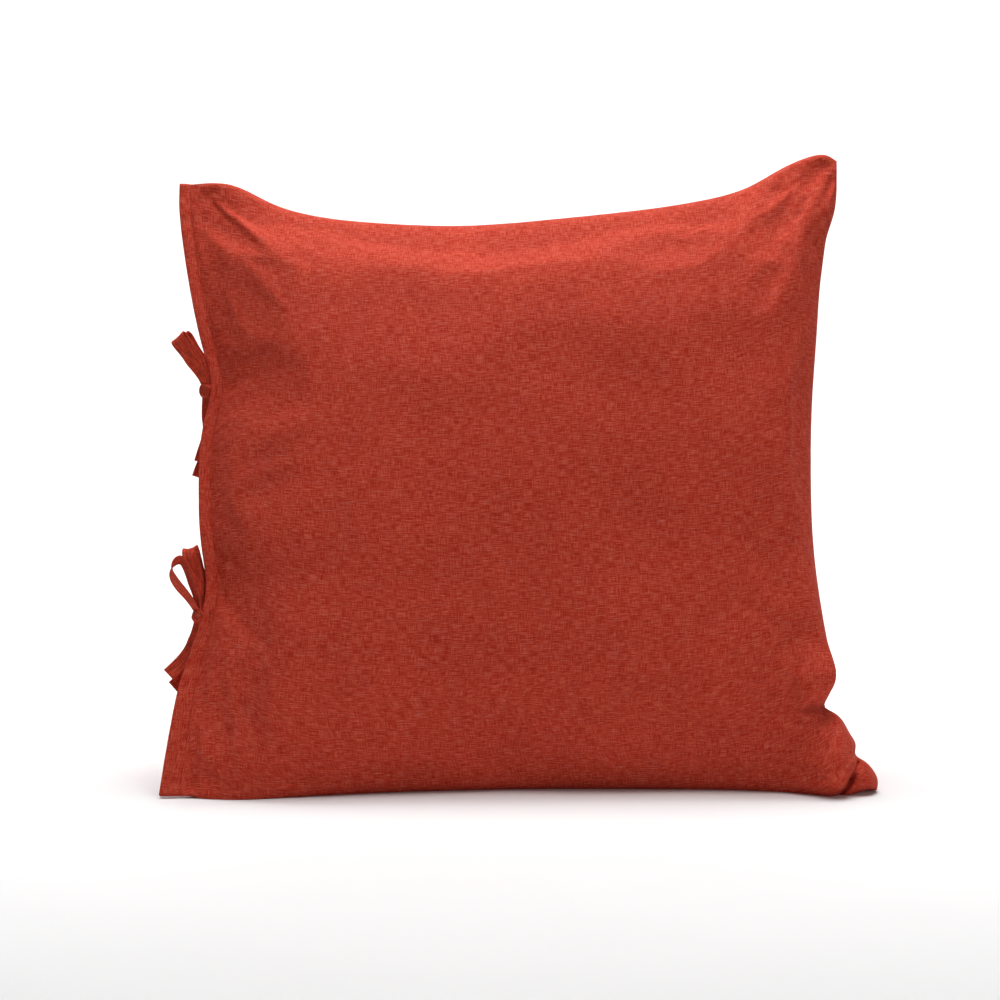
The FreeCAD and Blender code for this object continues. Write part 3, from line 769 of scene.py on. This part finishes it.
# Centre line of each ribbon from its knot outwards (a loop also comes back), the direction of its
# width at the start, the middle and the end of that line, and its width at both ends.
RIBBONS = {
    "upper_front_loop": (
        [(-264, 4, 330), (-266, 2, 338), (-272.5, 0, 350), (-281, -3, 363), (-286.6, -3, 371.5),
         (-286, 0.5, 373), (-280, 3, 364), (-271.5, 5, 351), (-265.5, 6, 339), (-263.5, 5, 331)],
        [(0.98, 0.0, 0.2), (0.70, 0.05, 0.70), (0.98, 0.1, 0.2)],
        (6.0, 6.0),
    ),
    "upper_back_loop": (
        [(-263.5, 7, 330), (-265, 8, 338), (-271, 8.5, 351), (-279.5, 8, 364), (-284.5, 8.5, 371.5),
         (-283, 11.5, 372.5), (-277, 13, 364), (-268, 13, 350), (-263, 11, 339), (-262.5, 9, 331)],
        [(0.98, 0.1, 0.2), (0.76, 0.2, 0.60), (0.98, 0.2, 0.2)],
        (6.0, 6.0),
    ),
    "upper_front_tail": (
        [(-264, 6, 324), (-263, 11, 310), (-262, 17, 292), (-267.5, 20, 273), (-270, 21, 265)],
        [(1.0, 0.2, 0.0), (0.93, 0.3, -0.2), (0.93, 0.2, -0.3)],
        (6.0, TIE_WIDTH),
    ),
    "upper_back_tail": (
        [(-263.5, 8, 324), (-260, 15, 305), (-260, 22, 284), (-268.5, 24, 262), (-272.5, 24, 251.5)],
        [(1.0, 0.2, 0.0), (0.95, 0.2, -0.2), (0.85, 0.15, -0.5)],
        (6.0, TIE_WIDTH),
    ),
    "lower_front_loop": (
        [(-265.5, -62, 146), (-272, -63, 157), (-281.5, -64, 169), (-286.3, -64.5, 179),
         (-284.5, -64.5, 187), (-279.5, -64, 190.5), (-274.5, -63.5, 184.5), (-270, -62.5, 172),
         (-266, -61.5, 158), (-265, -61, 146)],
        [(0.62, -0.68, 0.38), (0.15, -0.72, 0.67), (0.62, -0.70, 0.32)],
        (7.0, 7.0),
    ),
    "lower_back_loop": (
        [(-264, -56, 146), (-265, -53, 162), (-268.5, -51, 181), (-273, -51, 195.5), (-272.5, -48.5, 197.5),
         (-268, -46, 183), (-263, -47, 164), (-263, -53, 146)],
        [(0.8, 0.5, 0.1), (0.86, 0.45, 0.22), (0.8, 0.5, 0.1)],
        (6.0, 6.0),
    ),
    "lower_front_tail": (
        [(-265.5, -62, 140), (-267, -62, 126), (-273, -62, 112), (-282, -65, 101.5), (-289.5, -67, 94.5)],
        [(1.0, -0.1, 0.0), (0.75, -0.3, -0.55), (0.62, -0.35, -0.75)],
        (6.0, TIE_WIDTH),
    ),
    "lower_back_tail": (
        [(-265, -57, 140), (-264, -54, 122), (-267.5, -55, 106), (-276, -60, 93), (-286, -64, 83.5)],
        [(1.0, 0.1, 0.0), (0.85, 0.2, -0.45), (0.72, 0.15, -0.65)],
        (6.0, TIE_WIDTH),
    ),
}


def build_ribbon(name):
    """One loop or tail of a bow, bending from the knot."""
    line, width_way, (first, last) = RIBBONS[name]
    is_loop = name.endswith("loop")
    widths = [first] + [TIE_WIDTH] * (3 if is_loop else 2) + [last]
    piece = ribbon(name + "_ribbon", line, width_way, widths)
    finish_piece(piece, linen_tie, None, "linen_tie", name)
    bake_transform(piece)


KNOT_CENTRES = {"upper": (-264.5, 5.0, 327.0), "lower": (-265.5, -60.0, 143.0)}


def build_knot(bow):
    """The tight knot: a wrapped, creased lump of the two ties."""
    middle = np.array(KNOT_CENTRES[bow])
    rows, columns = 40, 48
    polar = np.linspace(0.001, np.pi - 0.001, rows)
    turn = np.linspace(0, 2 * np.pi, columns, endpoint=False)
    theta, phi = np.meshgrid(polar, turn, indexing="ij")
    power = 0.72
    x = 4.6 * np.sign(np.cos(phi)) * np.abs(np.sin(theta)) ** power * np.abs(np.cos(phi)) ** power
    y = 5.6 * np.sign(np.sin(phi)) * np.abs(np.sin(theta)) ** power * np.abs(np.sin(phi)) ** power
    z = 6.2 * np.sign(np.cos(theta)) * np.abs(np.cos(theta)) ** power
    pleat = 0.45 * np.sin(4.2 * z / 7 + 2.2 * np.sin(phi) + (0.8 if bow == "upper" else 2.1))
    wrap = 0.8 * np.exp(-(((z - 0.35 * x) / 2.6) ** 2))
    grow = 1 + (pleat + wrap) / 7
    rings = np.stack([x * grow, y * grow, z], axis=-1)
    points = np.repeat(middle[None], rows, axis=0)
    piece = swept(f"{bow}_bow_knot", points, rings)
    # The knot's material is the tie linen darkened as painted shade.
    finish_piece(piece, linen_knot_painted_shade, "cushion", "linen_tie", f"{bow}_knot")
    return middle


def build_root(bow, side, sign, knot):
    """The sewn end of one tie, from between the hems out to the knot."""
    inner = knot + np.array([12.0, 0, 0]) + EDGE_FORWARD * sign * 0.4
    between = knot + np.array([7.0, 0, 0]) + EDGE_FORWARD * sign * 0.7
    near = knot + np.array([2.5, 0, 0]) + EDGE_FORWARD * sign * 0.6
    up = np.array([0.0, math.sin(EDGE_TILT), math.cos(EDGE_TILT)])
    name = f"{bow}_{side}_tie_root"
    widths = [TIE_WIDTH, TIE_WIDTH, 8.0]
    piece = ribbon(name + "_ribbon", [inner, between, near], [up, up], widths, samples=24)
    finish_piece(piece, linen_tie, "cushion", "linen_tie", name)


def build_tacks():
    """Bar tacks: dense short stitches over each tie's sewn end, on both hems."""
    starts = []
    ends = []
    lifts = []
    up = np.array([0.0, math.sin(EDGE_TILT), math.cos(EDGE_TILT)])
    for knot in knots:
        for sign in (1, -1):
            for k in range(9):
                height = (k - 4) * 1.05
                place = knot + np.array([10.0, 0, 0]) + up * height + EDGE_FORWARD * sign * 3.1
                starts.append(place + np.array([-0.9, 0, 0]))
                ends.append(place + np.array([0.9, 0, 0]))
                lifts.append(EDGE_FORWARD * sign)
    piece = stitches("bar_tack_stitches", starts, ends, lifts, radius=0.4)
    finish_piece(piece, thread_rust, "cushion", "thread", "tie_bar_tacks")


knots = []
for bow in ("upper", "lower"):
    knot = build_knot(bow)
    knots.append(knot)
    for side, sign in (("front", 1), ("back", -1)):
        build_root(bow, side, sign, knot)
        for part in ("loop", "tail"):
            build_ribbon(f"{bow}_{side}_{part}")
build_tacks()

# ---------------------------------------------------------------- stage, light and camera


def stage_material(name, level):
    """Plain matt paper with a very faint grain."""
    nodes = Nodes(name)
    place = nodes.add("ShaderNodeTexCoord").outputs["Object"]
    grain = streaks(nodes, place, (9.0, 9.0, 9.0))
    tone = nodes.add("ShaderNodeMapRange")
    tone.inputs["To Min"].default_value = level - 0.01
    tone.inputs["To Max"].default_value = level + 0.01
    nodes.link(grain, tone.inputs["Value"])
    colour = nodes.add("ShaderNodeCombineColor")
    for channel in ("Red", "Green", "Blue"):
        nodes.link(tone.outputs["Result"], colour.inputs[channel])
    shader = nodes.add("ShaderNodeBsdfPrincipled", Roughness=0.9)
    nodes.link(colour.outputs["Color"], shader.inputs["Base Color"])
    output = nodes.add("ShaderNodeOutputMaterial")
    nodes.link(shader.outputs["BSDF"], output.inputs["Surface"])
    return nodes.material


def build_stage():
    """A pale floor that sweeps up into a plain backdrop behind the cushion."""
    half_width, near, bend, far_radius, height = 6.0, -5.0, 1.6, 1.2, 5.0
    profile = [(near, 0.0), (bend, 0.0)]
    for k in range(1, 13):
        angle = k / 12 * math.pi / 2
        profile.append((bend + far_radius * math.sin(angle), far_radius * (1 - math.cos(angle))))
    profile.append((bend + far_radius, height))
    vertices = [(x, y, z) for y, z in profile for x in (-half_width, half_width)]
    faces = [(2 * k, 2 * k + 1, 2 * k + 3, 2 * k + 2) for k in range(len(profile) - 1)]
    mesh = bpy.data.meshes.new("backdrop")
    mesh.from_pydata(vertices, [], faces)
    mesh.shade_smooth()
    stage = bpy.data.objects.new("backdrop", mesh)
    bpy.context.scene.collection.objects.link(stage)
    stage.data.materials.append(stage_material("paper", 0.84))


def area_light(name, place, target, size, power):
    """A square soft light that looks at a point."""
    data = bpy.data.lights.new(name, "AREA")
    data.size = size
    data.energy = power
    lamp = bpy.data.objects.new(name, data)
    lamp.location = place
    lamp.rotation_euler = (Vector(target) - Vector(place)).to_track_quat("-Z", "Y").to_euler()
    bpy.context.scene.collection.objects.link(lamp)


def build_camera():
    """A long lens in front of the cushion, a little above its middle."""
    data = bpy.data.cameras.new("camera")
    data.lens = 103.7
    data.sensor_width = 36.0
    camera = bpy.data.objects.new("camera", data)
    place = Vector((-0.0146, -2.435, 0.450))
    target = Vector((-0.0146, -0.035, 0.2375))
    camera.location = place
    camera.rotation_euler = (target - place).to_track_quat("-Z", "Y").to_euler()
    bpy.context.scene.collection.objects.link(camera)
    bpy.context.scene.camera = camera


build_stage()
area_light("top_softbox", (0.0, 0.0, 2.3), (0.0, 0.0, 0.25), 1.7, 50.0)
area_light("front_fill", (1.7, -3.2, 1.0), (0.0, 0.0, 0.25), 2.0, 16.0)
area_light("backdrop_light", (0.0, 0.9, 2.6), (0.0, 2.8, 0.9), 2.0, 75.0)
world = bpy.data.worlds.new("studio")
world.use_nodes = True
world.node_tree.nodes["Background"].inputs["Color"].default_value = (1.0, 0.99, 0.98, 1.0)
world.node_tree.nodes["Background"].inputs["Strength"].default_value = 0.12
bpy.context.scene.world = world
bpy.context.scene.view_settings.view_transform = "Standard"
build_camera()
